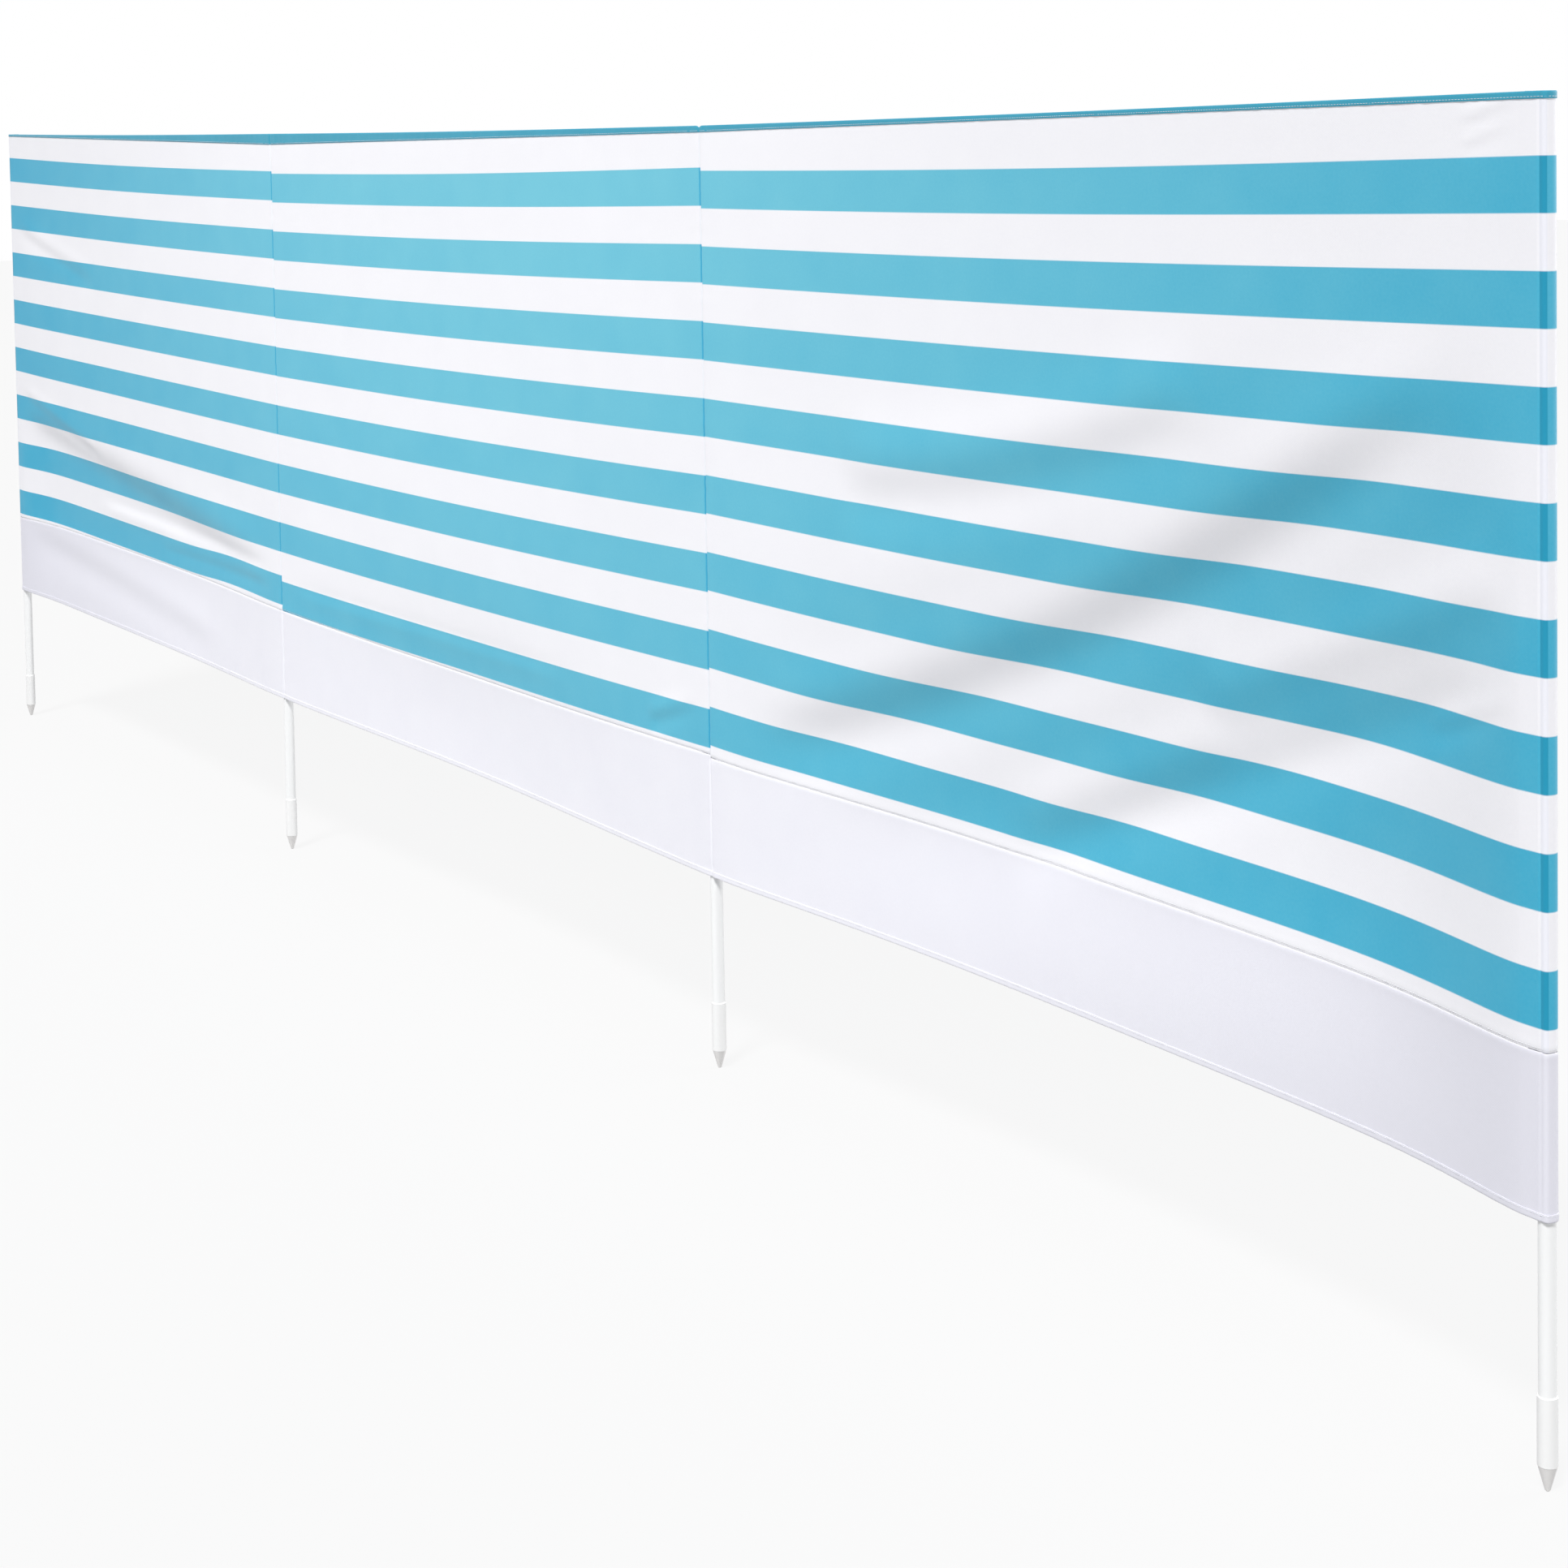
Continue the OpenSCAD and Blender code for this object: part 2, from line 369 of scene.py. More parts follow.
ROUND = TURN * WRAP_R          # length of the cloth that lies on an end pole
MAIN_COLUMNS = {
    1: columns((-TURN_LENGTH, -ROUND, TAIL_STEP), (-ROUND, 0, ROUND_STEP), (0, NEAR, NEAR_STEP),
               (NEAR, BAY - CUT, BAY_STEP)),
    2: columns((POLE_X[1] + CUT, POLE_X[2] - CUT, BAY_STEP)),
    3: columns((POLE_X[2] + CUT, POLE_X[3] - NEAR, BAY_STEP), (POLE_X[3] - NEAR, POLE_X[3], NEAR_STEP),
               (POLE_X[3], POLE_X[3] + ROUND, ROUND_STEP),
               (POLE_X[3] + ROUND, POLE_X[3] + TURN_LENGTH, TAIL_STEP)),
}


def band_columns(side, pole):
    """Positions across the cloth on one side of a middle pole, close together beside the seam."""
    seam = pole + JOIN
    if side == "left":
        return columns((pole - CUT, seam - SEAM_NEAR, BAND_STEP),
                       (seam - SEAM_NEAR, seam - SEAM_GAP, SEAM_STEP))
    return columns((seam + SEAM_GAP, seam + SEAM_NEAR, SEAM_STEP),
                   (seam + SEAM_NEAR, pole + CUT, BAND_STEP))


def sheet_points(bay, u, low, high, shares, offset):
    """Points of a sheet between two heights. offset(U, Z) is how far they move to the front."""
    U = np.broadcast_to(u, (len(shares), len(u)))
    bottom, top = low(u), high(u)
    Z = bottom + (top - bottom) * shares[:, None]
    x, y, nx, ny = place(bay, U, Z)
    out = offset(U, Z)
    P = np.stack([x + nx * out, y + ny * out, Z], 2)
    uv = np.stack([U, stripe(bay, U, Z)], 2)
    return P, uv


def top_z(x):
    return LOW + edge_height(x, TOP_EDGE) - 0.003 * bump(x, POLE_X[2] + JOIN, 0.004)


def hem_z(x):
    return LOW + edge_height(x, HEM_EDGE)


def bottom_z(x):
    return LOW + edge_height(x, BOTTOM_EDGE)


def panel(name, bay, u):
    def offset(U, Z):
        up = Z - seam_z(bay, U)
        sewn_in = -0.0009 * np.exp(-up / 0.0022) + 0.0003 * bump(up, 0.006, 0.003)
        return sewn_in + pucker(U, up - 0.004) + pucker(U + 3, hem_z(U) - Z, 0.012)

    rows = near_ends(PANEL_FLAT, ROW_STEP)
    P, uv = sheet_points(bay, u, lambda x: seam_z(bay, x), lambda x: top_z(x) - 0.002, rows, offset)
    return shell(name, P, uv)


def skirt(name, bay, u):
    def offset(U, Z):
        down = seam_z(bay, U) - Z
        sewn_in = -0.0010 * np.exp(-down / 0.0014) + 0.0002 * bump(down, 0.0048, 0.0036)
        return sewn_in + pucker(U, down - 0.003) + pucker(U + 5, Z - bottom_z(U) - SKIRT_HEM, 0.012)

    rows = near_ends(SKIRT_FLAT, ROW_STEP)
    P, uv = sheet_points(bay, u, lambda x: bottom_z(x) + 0.002, lambda x: seam_z(bay, x) - 0.0006,
                         rows, offset)
    return shell(name, P, uv)


def fold_over(name, bay, u, low, high, top):
    """A hem: cloth folded over an edge, in front of and behind the sheet. top is True for the top edge."""
    U = np.broadcast_to(u, (15, len(u)))
    a, b = low(u), high(u)
    share = np.array([0, 0.08, 0.25, 0.5, 0.75, 0.93])
    turn = np.radians([0, 45, 90, 135, 180])
    side = a + (b - FOLD - a) * share[:, None]
    bend = b - FOLD + FOLD * np.sin(turn[1:-1])[:, None] + 0 * u
    Z = np.concatenate([side, bend, side[::-1]])
    out = np.concatenate([np.full(6, FOLD), FOLD * np.cos(turn[1:-1]), np.full(6, -FOLD)])[:, None]
    if not top:
        Z = (a + b) - Z
        Z, out = Z[::-1], out[::-1]
    x, y, nx, ny = place(bay, U, Z)
    out = out + pucker(U + (2 if top else 4), 0 * U, 1, 0.0003)
    P = np.stack([x + nx * out, y + ny * out, Z], 2)
    uv = np.stack([U, Z / BAND], 2)
    return shell(name, P, uv, HEM_CLOTH)


def strip_path(pole):
    """The strip behind a middle pole, in plan, from its left foot round the back to its right foot."""
    around = np.linspace(math.pi - STRIP_ANGLE, STRIP_ANGLE, 26)
    arc = np.stack([WRAP_R * np.cos(around), WRAP_R * np.sin(around)], 1)
    leg = np.linspace(0, 1, 6)[:-1, None]
    left = np.array([-STRIP_FOOT, FOOT_Y]) * (1 - leg) + arc[0] * leg
    flat = np.array([[-STRIP_FOOT - 0.005, FOOT_Y], [-STRIP_FOOT - 0.0025, FOOT_Y]])
    half = np.concatenate([flat, left])
    path = np.concatenate([half, arc, half[::-1] * [-1, 1]])
    return path + [pole, 0]


def strip(name, pole, bay, low, high, size):
    path = strip_path(pole)
    x = path[:, 0]
    length = np.concatenate([[0], np.cumsum(np.linalg.norm(np.diff(path, axis=0), axis=1))])
    shares = np.linspace(0, 1, size)[:, None]
    a, b = low(x), high(x)
    Z = a + (b - a) * shares
    X, Y = np.broadcast_to(x, Z.shape), np.broadcast_to(path[:, 1], Z.shape)
    P = np.stack([X, Y + 0.3 * pucker(Z + 7, 0 * Z, 1, 0.0004), Z], 2)
    uv = np.stack([pole + length + 0 * Z, stripe(bay, X, Z)], 2)
    return shell(name, P[:, ::-1], uv[:, ::-1])


def cap(name, pole):
    """The sewn top of a pocket."""
    rings, around = np.linspace(0, 1, 5), np.linspace(0, 2 * np.pi, 33)
    high = float(top_z(np.array([pole]))[0]) - 0.0022
    r = (WRAP_R - 0.0006) * np.clip(rings, 0.02, 1)[:, None]
    Z = high + 0.001 * (1 - rings[:, None] ** 2) + 0 * around
    P = np.stack([pole + r * np.cos(around), r * np.sin(around), Z], 2)
    uv = np.stack([P[..., 0], P[..., 1] / BAND], 2)
    return shell(name, P, uv, HEM_CLOTH)


# ---- stitches ----
BACK_STITCH = 0.0012           # how far behind the middle of the cloth the stitches of a strip lie
FRONT_STITCH = FOLD + 0.00025  # and how far in front of it those of a hem
HEM_STITCH = 0.0022            # from the low edge of the top hem up to its stitches
SEAM_STITCH = 0.0035           # from the seam of the skirt up to the stitches above it
LOW_STITCH = 0.0018            # from the high edge of the bottom hem down to its stitches


class Stitches:
    """Rows of thread, as one mesh of small closed stitches."""
    def __init__(self):
        self.points, self.faces = [], []

    def row(self, path, normal, pitch=0.0045, length=0.0034, radius=0.00026, lift=0.0001):
        """path and normal are arrays of points and outward directions along the line of stitches."""
        run = np.concatenate([[0], np.cumsum(np.linalg.norm(np.diff(path, axis=0), axis=1))])
        starts = np.arange(pitch, run[-1] - pitch, pitch)

        def at(d, what):
            return np.stack([np.interp(d, run, what[:, k]) for k in range(3)], 1)

        a, b = at(starts, path), at(starts + length, path)
        n = at(starts + length / 2, normal)
        n /= np.linalg.norm(n, axis=1, keepdims=True)
        t = (b - a) / np.linalg.norm(b - a, axis=1, keepdims=True)
        w = np.cross(n, t)
        rings = []
        for share, up, size in ((0, -0.9, 0.7), (0.2, 0.5, 1), (0.8, 0.5, 1), (1, -0.9, 0.7)):
            centre = a + (b - a) * share + n * (radius * up + lift)
            for c, s in ((1, 0), (0, 1), (-1, 0), (0, -1)):
                rings.append(centre + size * radius * (c * w + s * n))
        block = np.stack(rings, 1)                                     # stitches x 16 x 3
        base = sum(len(p) for p in self.points) + 16 * np.arange(len(starts))[:, None, None]
        quads = [[r * 4 + k, r * 4 + (k + 1) % 4, r * 4 + 4 + (k + 1) % 4, r * 4 + 4 + k]
                 for r in range(3) for k in range(4)]
        quads += [[3, 2, 1, 0], [12, 13, 14, 15]]
        self.points.append(block.reshape(-1, 3))
        self.faces.append((np.array(quads)[None] + base).reshape(-1, 4))

    def build(self, name):
        mesh = bpy.data.meshes.new(name)
        mesh.from_pydata(np.concatenate(self.points).tolist(), [], np.concatenate(self.faces).tolist())
        mesh.polygons.foreach_set("use_smooth", np.ones(len(mesh.polygons), bool))
        obj = bpy.data.objects.new(name, mesh)
        bpy.context.scene.collection.objects.link(obj)
        return obj


def along_row(stitches, bay, u, z, out):
    """A row of stitches along the bay at heights z(u), that far in front of the cloth."""
    Z = z(u)
    x, y, nx, ny = place(bay, u, Z)
    normal = np.stack([nx, ny, 0 * Z], 1)
    stitches.row(np.stack([x, y, Z], 1) + normal * out, normal)


def up_pole(stitches, bay, u):
    """A row of stitches up the back of the cloth at u."""
    low, high = float(bottom_z(np.array([u]))[0]) + 0.003, float(top_z(np.array([u]))[0]) - 0.003
    Z = np.linspace(low, high, 200)
    x, y, nx, ny = place(bay, np.full(len(Z), float(u)), Z)
    normal = -np.stack([nx, ny, 0 * Z], 1)
    stitches.row(np.stack([x, y, Z], 1) + normal * BACK_STITCH, normal)


def row_seams(stitches, bay, u):
    along_row(stitches, bay, u, lambda x: hem_z(x) + HEM_STITCH, FRONT_STITCH)
    along_row(stitches, bay, u, lambda x: seam_z(bay, x) + SEAM_STITCH, CLOTH / 2)
    along_row(stitches, bay, u, lambda x: bottom_z(x) + SKIRT_HEM - LOW_STITCH, FRONT_STITCH)


# ---- materials ----
def material(name):
    m = bpy.data.materials.new(name)
    m.use_nodes = True
    tree = m.node_tree
    return m, tree, tree.nodes["Principled BSDF"]


def node(tree, kind, **values):
    n = tree.nodes.new(kind)
    for key, value in values.items():
        setattr(n, key, value)
    return n


def maths(tree, operation, a, b=None, c=None):
    n = node(tree, "ShaderNodeMath", operation=operation)
    for i, value in enumerate((a, b, c)):
        if value is None:
            continue
        if isinstance(value, (int, float)):
            n.inputs[i].default_value = value
        else:
            tree.links.new(value, n.inputs[i])
    return n.outputs[0]


def mixed(tree, factor, a, b):
    n = node(tree, "ShaderNodeMix", data_type="RGBA")
    for socket, value in ((n.inputs[0], factor), (n.inputs[6], a), (n.inputs[7], b)):
        if isinstance(value, (int, float)):
            socket.default_value = value
        elif isinstance(value, tuple):
            socket.default_value = (*value, 1)
        else:
            tree.links.new(value, socket)
    return n.outputs[2]


def noise(tree, vector, scale, detail):
    n = node(tree, "ShaderNodeTexNoise")
    n.inputs["Scale"].default_value = scale
    n.inputs["Detail"].default_value = detail
    tree.links.new(vector, n.inputs["Vector"])
    return n.outputs[0]


def apart(tree, a, b):
    return maths(tree, "ABSOLUTE", maths(tree, "SUBTRACT", a, b))


def ranged(tree, value, start, stop, at_start, at_stop):
    """Goes from at_start to at_stop while the value goes from start to stop."""
    n = node(tree, "ShaderNodeMapRange")
    tree.links.new(value, n.inputs[0])
    for i, number in enumerate((start, stop, at_start, at_stop)):
        n.inputs[i + 1].default_value = number
    return n.outputs[0]


def add_relief(tree, shader, height, strength, distance):
    n = node(tree, "ShaderNodeBump")
    n.inputs["Strength"].default_value = strength
    n.inputs["Distance"].default_value = distance
    tree.links.new(height, n.inputs["Height"])
    tree.links.new(n.outputs[0], shader.inputs["Normal"])


def weave(tree, along, across):
    """The height of a plain weave, from two coordinates in threads."""
    a = maths(tree, "SINE", maths(tree, "MULTIPLY", along, math.pi))
    b = maths(tree, "SINE", maths(tree, "MULTIPLY", across, math.pi))
    return maths(tree, "MULTIPLY", a, b)


GROOVE_SHADE_AT = 0.0056            # a darker band of painted shade at an end pocket, this far past the pole axis along the cloth
# the darker white and blue of that painted shade
GROOVE_SHADE_WHITE, GROOVE_SHADE_BLUE = (0.85, 0.855, 0.92), (0.008, 0.29, 0.46)
# the darker white and blue of the painted shade in the seam of two bays at a middle pole
SEAM_SHADE_WHITE, SEAM_SHADE_BLUE = (0.79, 0.80, 0.85), (0.02, 0.34, 0.56)


def stripe_colour(tree, u, v, patch, colours):
    """The colour of the striped cloth at u metres along the row and at stripe coordinate v."""
    white = mixed(tree, patch, colours[1], colours[0])
    # painted light and shade: the blue is mixed lighter in the middle of the row and towards the top, and
    # deeper towards the ends and the bottom; the noise patches add a tone that differs at random
    away = maths(tree, "DIVIDE", apart(tree, u, POLE_X[1] + 0.65 * BAY), 1.75 * BAY)
    painted_light_and_patches = maths(tree, "SUBTRACT", 1, maths(tree, "POWER", away, 1.6))
    painted_light_and_patches = maths(tree, "MULTIPLY", painted_light_and_patches, maths(tree, "MULTIPLY_ADD", v, -0.03, 1))
    painted_light_and_patches = maths(tree, "MULTIPLY_ADD", maths(tree, "SUBTRACT", patch, 0.5), 0.30, painted_light_and_patches)
    painted_light_and_patches.node.use_clamp = True
    blue = mixed(tree, painted_light_and_patches, colours[3], colours[2])
    wave = maths(tree, "PINGPONG", maths(tree, "ADD", v, 0.5), 1)
    is_blue = ranged(tree, wave, 0.488, 0.512, 0, 1)
    within = maths(tree, "MULTIPLY", maths(tree, "GREATER_THAN", v, -0.5),
                   maths(tree, "LESS_THAN", v, STRIPES + 0.5))
    # painted shade: the cloth is darker in a narrow band at the seam of an end pocket
    half = (POLE_X[-1] - POLE_X[0]) / 2
    past_pole = maths(tree, "SUBTRACT", apart(tree, u, POLE_X[0] + half), half)
    groove_shade = ranged(tree, apart(tree, past_pole, GROOVE_SHADE_AT), 0.0037, 0.0045, 1, 0)
    white = mixed(tree, groove_shade, white, GROOVE_SHADE_WHITE)
    blue = mixed(tree, groove_shade, blue, GROOVE_SHADE_BLUE)
    # painted shade: the cloth is also darker where it turns back into the seam at a middle pole
    for pole in POLE_X[1:3]:
        seam_shade = ranged(tree, apart(tree, u, pole + JOIN - 0.0008), 0.0012, 0.0030, 0.8, 0)
        white = mixed(tree, seam_shade, white, SEAM_SHADE_WHITE)
        blue = mixed(tree, seam_shade, blue, SEAM_SHADE_BLUE)
    return mixed(tree, maths(tree, "MULTIPLY", is_blue, within), white, blue)


def cloth_material(name, colours, roughness, striped=False, painted_end_shade=None):
    """Woven polyester. colours are (light, dark) or, if striped, (white, darker white, lighter blue, deeper
    blue); the two blues carry painted light in the middle of the row and painted shade towards its ends. The
    last argument, if given, is the grey that the colour is mixed towards at both ends of the row, as painted
    shade."""
    m, tree, shader = material(name)
    uv = node(tree, "ShaderNodeUVMap", uv_map="cloth")
    split = node(tree, "ShaderNodeSeparateXYZ")
    tree.links.new(uv.outputs[0], split.inputs[0])
    u, v = split.outputs[0], split.outputs[1]
    in_metres = node(tree, "ShaderNodeCombineXYZ")
    tree.links.new(u, in_metres.inputs[0])
    tree.links.new(maths(tree, "MULTIPLY", v, BAND), in_metres.inputs[1])
    cloud = noise(tree, in_metres.outputs[0], 9, 5)
    fibre = noise(tree, in_metres.outputs[0], 260, 2)
    patch = maths(tree, "MULTIPLY_ADD", maths(tree, "SUBTRACT", cloud, 0.5), 1.2, 0.5)
    patch = maths(tree, "MULTIPLY_ADD", maths(tree, "SUBTRACT", fibre, 0.5), 0.9, patch)
    patch.node.use_clamp = True
    if striped:
        colour = stripe_colour(tree, u, v, patch, colours)
    else:
        colour = mixed(tree, patch, colours[1], colours[0])
    # painted shade: towards both ends of the row the colour is mixed towards a grey
    if painted_end_shade:
        away = maths(tree, "DIVIDE", maths(tree, "SUBTRACT", u, POLE_X[1] + 0.55 * BAY), 1.5 * BAY)
        away = maths(tree, "MULTIPLY", away, away)
        away.node.use_clamp = True
        colour = mixed(tree, away, colour, painted_end_shade)
    tree.links.new(colour, shader.inputs["Base Color"])
    rough = maths(tree, "MULTIPLY_ADD", fibre, 0.16, roughness - 0.08)
    tree.links.new(rough, shader.inputs["Roughness"])
    shader.inputs["Sheen Weight"].default_value = 0.15
    shader.inputs["Sheen Roughness"].default_value = 0.45
    shader.inputs["Specular IOR Level"].default_value = 0.35
    threads = weave(tree, maths(tree, "MULTIPLY", u, THREADS), maths(tree, "MULTIPLY", v, THREADS * BAND))
    add_relief(tree, shader, maths(tree, "MULTIPLY_ADD", fibre, 0.8, threads), 0.25, 0.0002)
    return m


def hard_material(name, light, dark, roughness, scale, relief_size, coat=0.0):
    """Painted metal or moulded plastic, with faint marks along Z."""
    m, tree, shader = material(name)
    coordinates = node(tree, "ShaderNodeTexCoord")
    stretch = node(tree, "ShaderNodeMapping")
    stretch.inputs["Scale"].default_value = (1, 1, 0.12)
    tree.links.new(coordinates.outputs["Object"], stretch.inputs[0])
    marks = noise(tree, stretch.outputs[0], scale, 6)
    tree.links.new(mixed(tree, marks, dark, light), shader.inputs["Base Color"])
    tree.links.new(maths(tree, "MULTIPLY_ADD", marks, 0.2, roughness - 0.1), shader.inputs["Roughness"])
    shader.inputs["Specular IOR Level"].default_value = 0.5
    shader.inputs["Coat Weight"].default_value = coat
    add_relief(tree, shader, marks, 0.3, relief_size)
    return m


WHITE, WHITE_LOW = (0.925, 0.92, 0.955), (0.89, 0.885, 0.925)
# BLUE is the lighter blue of the painted light in the middle of the row and towards the top, BLUE_LOW the
# deeper blue of the painted shade towards the ends and the bottom
BLUE, BLUE_LOW = (0.15, 0.55, 0.69), (0.02, 0.38, 0.595)
striped = cloth_material("striped_polyester", (WHITE, WHITE_LOW, BLUE, BLUE_LOW), 0.62, striped=True)
# the plain cloth gets painted shade towards both ends of the row
plain = cloth_material("plain_polyester", ((0.905, 0.90, 0.955), (0.86, 0.855, 0.92)), 0.60,
                       painted_end_shade=(0.76, 0.755, 0.83))
hem_blue = cloth_material("hem_polyester", ((0.04, 0.345, 0.49), (0.028, 0.295, 0.43)), 0.62)
thread = cloth_material("thread", ((0.85, 0.86, 0.88), (0.78, 0.79, 0.82)), 0.5)
paint = hard_material("white_enamel", (0.92, 0.925, 0.925), (0.88, 0.885, 0.885), 0.32, 60, 0.00015,
                      coat=0.25)
sleeve_plastic = hard_material("sleeve_plastic", (0.90, 0.90, 0.895), (0.86, 0.86, 0.86), 0.42, 140, 0.0001)
tip_plastic = hard_material("tip_plastic", (0.87, 0.855, 0.845), (0.80, 0.785, 0.775), 0.45, 140, 0.0001)


def finish_piece(obj, mat):
    obj.data.materials.append(mat)
    return obj


# ---- the pieces ----
def skirt_hem_top(x):
    return bottom_z(x) + SKIRT_HEM


def make_cloth(label, bay, u):
    cloth = finish_piece(panel(f"panel_{label}", bay, u), striped)
    return cloth, finish_piece(skirt(f"skirt_{label}", bay, u), plain)


def make_hems(label, bay, u):
    top_hem = finish_piece(fold_over(f"top_hem_{label}", bay, u, hem_z, top_z, True), hem_blue)
    low_hem = fold_over(f"skirt_hem_{label}", bay, u, bottom_z, skirt_hem_top, False)
    return top_hem, finish_piece(low_hem, plain)


END_POCKETS = {1: (1, 1), 3: (4, -1)}  # for a bay: its end pole, and the bay's direction from that pole
for bay in BAYS:
    body, u = f"bay_{bay}", MAIN_COLUMNS[bay]
    cloth, skirt_piece = make_cloth(f"cloth_{bay}", bay, u)
    top_piece, low_piece = make_hems(f"cloth_{bay}", bay, u)
    sewing = Stitches()
    row_seams(sewing, bay, u)
    pocket, skirt_pocket = [], []
    if bay in END_POCKETS:
        n, direction = END_POCKETS[bay]
        up_pole(sewing, bay, POLE_X[n - 1] + direction * FOOT_STITCH)
        pocket, skirt_pocket = [f"pocket_{n}"], [f"skirt_pocket_{n}"]
    sewn = finish_piece(sewing.build(f"stitching_bay_{bay}"), thread)
    for piece in (cloth, skirt_piece, top_piece, low_piece, sewn):
        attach(piece, body)
    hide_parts(f"panel_{bay}", *pocket)
    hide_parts(f"skirt_{bay}", *skirt_pocket)
    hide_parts(f"top_hem_{bay}")
    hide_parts(f"skirt_hem_{bay}")

for k in (2, 3):
    pole, tube, hinge = POLE_X[k - 1], f"pole_{k}_tube", (f"bay_{k - 1}", f"bay_{k}")
    pieces, sewing = [], Stitches()
    for side, bay in (("left", k - 1), ("right", k)):
        u = band_columns(side, pole)
        cloth, skirt_piece = make_cloth(f"{side}_of_pole_{k}", bay, u)
        pieces += [cloth, skirt_piece]
        row_seams(sewing, bay, u)
    top_piece, low_piece = make_hems(f"at_pole_{k}", k, columns((pole - CUT, pole + CUT, BAND_STEP)))
    behind = strip(f"pocket_strip_{k}", pole, k, lambda x: seam_z(k, x), lambda x: top_z(x) - 0.004,
                   STRIP_ROWS["striped"])
    finish_piece(behind, striped)
    behind_low = strip(f"skirt_pocket_strip_{k}", pole, k, lambda x: bottom_z(x) + 0.003,
                       lambda x: seam_z(k, x) - 0.001, STRIP_ROWS["plain"])
    finish_piece(behind_low, plain)
    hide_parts(f"pocket_{k}")
    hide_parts(f"skirt_pocket_{k}")
    up_pole(sewing, k - 1, pole - FOOT_STITCH)
    up_pole(sewing, k, pole + FOOT_STITCH)
    sewn = finish_piece(sewing.build(f"stitching_at_pole_{k}"), thread)
    for piece in pieces + [top_piece, low_piece, behind, behind_low, sewn]:
        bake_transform(piece)

for n in (1, 2, 3, 4):
    lid = finish_piece(cap(f"pocket_top_{n}", POLE_X[n - 1]), hem_blue)
    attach(lid, f"bay_{max(1, n - 1)}")
    for part, mat in (("tube", paint), ("sleeve", sleeve_plastic), ("tip", tip_plastic)):
        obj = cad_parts[f"pole_{n}_{part}"]
        obj.data.materials.clear()
        obj.data.materials.append(mat)


# ---- floor, light and camera ----
def light_path(tree):
    """1 for the rays that see the background directly, in a mirror or through glass."""
    path = node(tree, "ShaderNodeLightPath")
    seen = maths(tree, "MAXIMUM", path.outputs["Is Camera Ray"], path.outputs["Is Glossy Ray"])
    return maths(tree, "MAXIMUM", seen, path.outputs["Is Transmission Ray"])


def white_floor():
    m, tree, shader = material("floor")
    shader.inputs["Base Color"].default_value = (0.42, 0.42, 0.42, 1)
    shader.inputs["Roughness"].default_value = 1
    shader.inputs["Specular IOR Level"].default_value = 0
    glow = node(tree, "ShaderNodeEmission")
    glow.inputs["Color"].default_value = (1, 1, 1, 1)
    glow.inputs["Strength"].default_value = 1
    mix = node(tree, "ShaderNodeMixShader")
    tree.links.new(maths(tree, "MULTIPLY", light_path(tree), 0.90), mix.inputs[0])
    tree.links.new(shader.outputs[0], mix.inputs[1])
    tree.links.new(glow.outputs[0], mix.inputs[2])
    tree.links.new(mix.outputs[0], tree.nodes["Material Output"].inputs["Surface"])
    bpy.ops.mesh.primitive_plane_add(size=60, location=(2.5, 0, -0.0005))
    floor = bpy.context.object
    floor.name = "floor"
    floor.data.materials.append(m)


def white_world(strength):
    world = bpy.data.worlds.new("surroundings")
    world.use_nodes = True
    bpy.context.scene.world = world
    tree = world.node_tree
    back = tree.nodes["Background"]
    back.inputs["Color"].default_value = (1, 1, 1, 1)
    low = node(tree, "ShaderNodeBackground")
    low.inputs["Color"].default_value = (0.97, 0.98, 1, 1)
    low.inputs["Strength"].default_value = strength
    back.inputs["Strength"].default_value = 1
    mix = node(tree, "ShaderNodeMixShader")
    tree.links.new(light_path(tree), mix.inputs[0])
    tree.links.new(low.outputs[0], mix.inputs[1])
    tree.links.new(back.outputs[0], mix.inputs[2])
    tree.links.new(mix.outputs[0], tree.nodes["World Output"].inputs["Surface"])


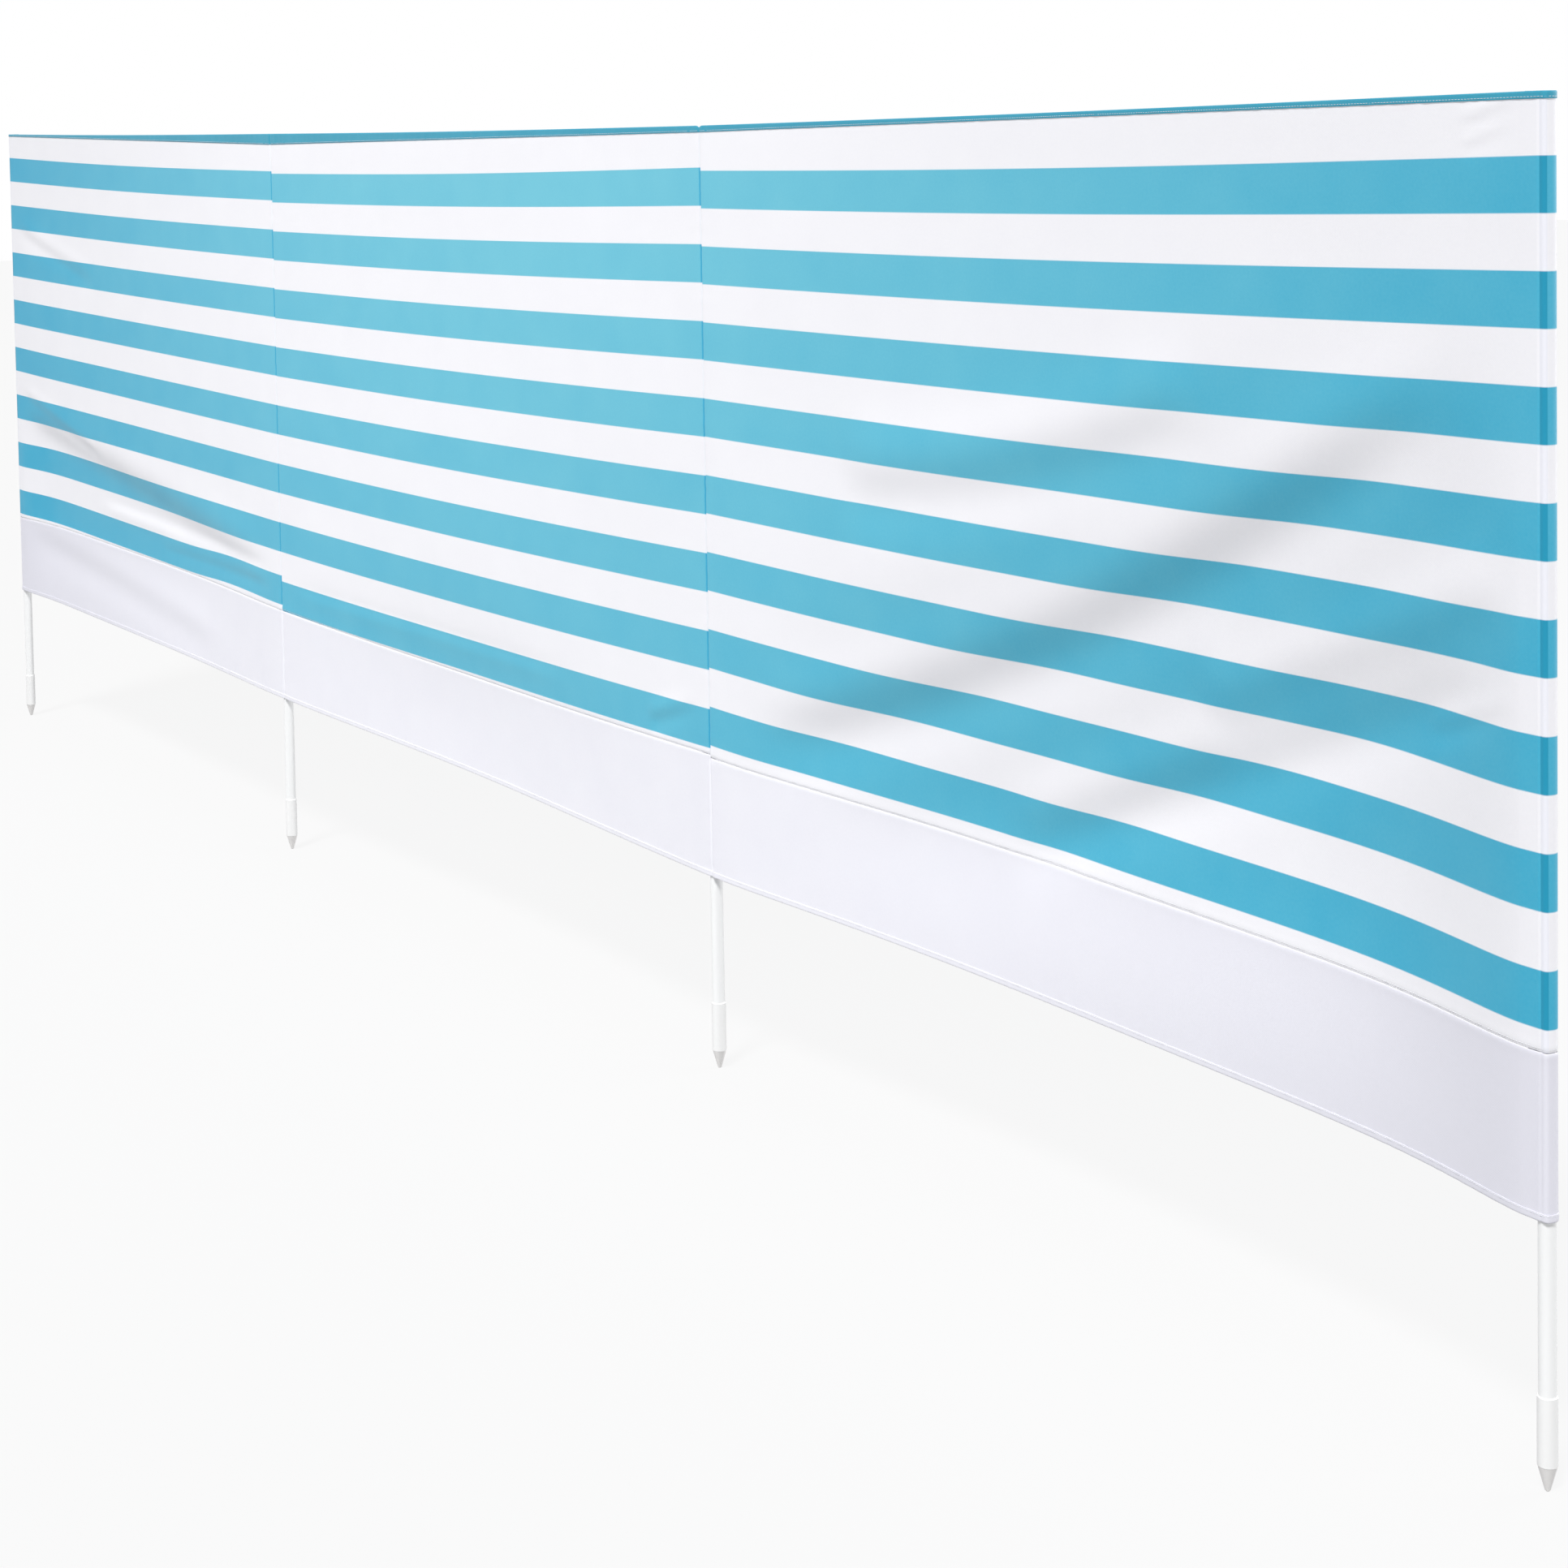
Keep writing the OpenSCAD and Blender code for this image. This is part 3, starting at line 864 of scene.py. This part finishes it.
def lamp(name, position, target, size, power):
    data = bpy.data.lights.new(name, "AREA")
    data.shape = "RECTANGLE"
    data.size, data.size_y = size
    data.energy = power
    obj = bpy.data.objects.new(name, data)
    bpy.context.scene.collection.objects.link(obj)
    obj.location = position
    obj.rotation_euler = (Vector(target) - Vector(position)).to_track_quat("-Z", "Y").to_euler()


def sun(name, towards, strength, spread):
    data = bpy.data.lights.new(name, "SUN")
    data.energy, data.angle = strength, math.radians(spread)
    obj = bpy.data.objects.new(name, data)
    bpy.context.scene.collection.objects.link(obj)
    obj.rotation_euler = Vector(towards).to_track_quat("Z", "Y").to_euler()


white_floor()
white_world(strength=0.235)
sun("sun", towards=(0.35, -0.62, 1.15), strength=3.08, spread=12)
lamp("front", position=(2.35, -3.2, 2.7), target=(2.35, 0, 1.0), size=(2.4, 1.2), power=32)
lamp("right", position=(8.2, -0.9, 1.9), target=(4.95, 0, 0.9), size=(1.6, 1.6), power=20)
lamp("rear", position=(6.0, 5.5, 2.6), target=(3.6, 0, 0.6), size=(4.0, 3.0), power=250)


def photo_camera(position, azimuth, down, roll, lens, shift_y):
    az, pitch, tilt = (math.radians(a) for a in (azimuth, down, roll))
    forward = Vector((-math.sin(az) * math.cos(pitch), math.cos(az) * math.cos(pitch), -math.sin(pitch)))
    right = Vector((math.cos(az), math.sin(az), 0))
    up = right.cross(forward)
    x_axis = math.cos(tilt) * right + math.sin(tilt) * up
    y_axis = -math.sin(tilt) * right + math.cos(tilt) * up
    data = bpy.data.cameras.new("camera")
    data.sensor_width, data.lens, data.shift_y = 36, lens, shift_y
    data.clip_start, data.clip_end = 0.05, 100
    obj = bpy.data.objects.new("camera", data)
    bpy.context.scene.collection.objects.link(obj)
    axes = Matrix((x_axis, y_axis, -forward)).transposed().to_4x4()
    obj.matrix_world = Matrix.Translation(position) @ axes
    bpy.context.scene.camera = obj


photo_camera(position=(6.845, -2.263, 1.481), azimuth=55.78, down=2.87, roll=-0.925, lens=61.70,
             shift_y=-0.329)
bpy.context.scene.view_settings.view_transform = "Standard"
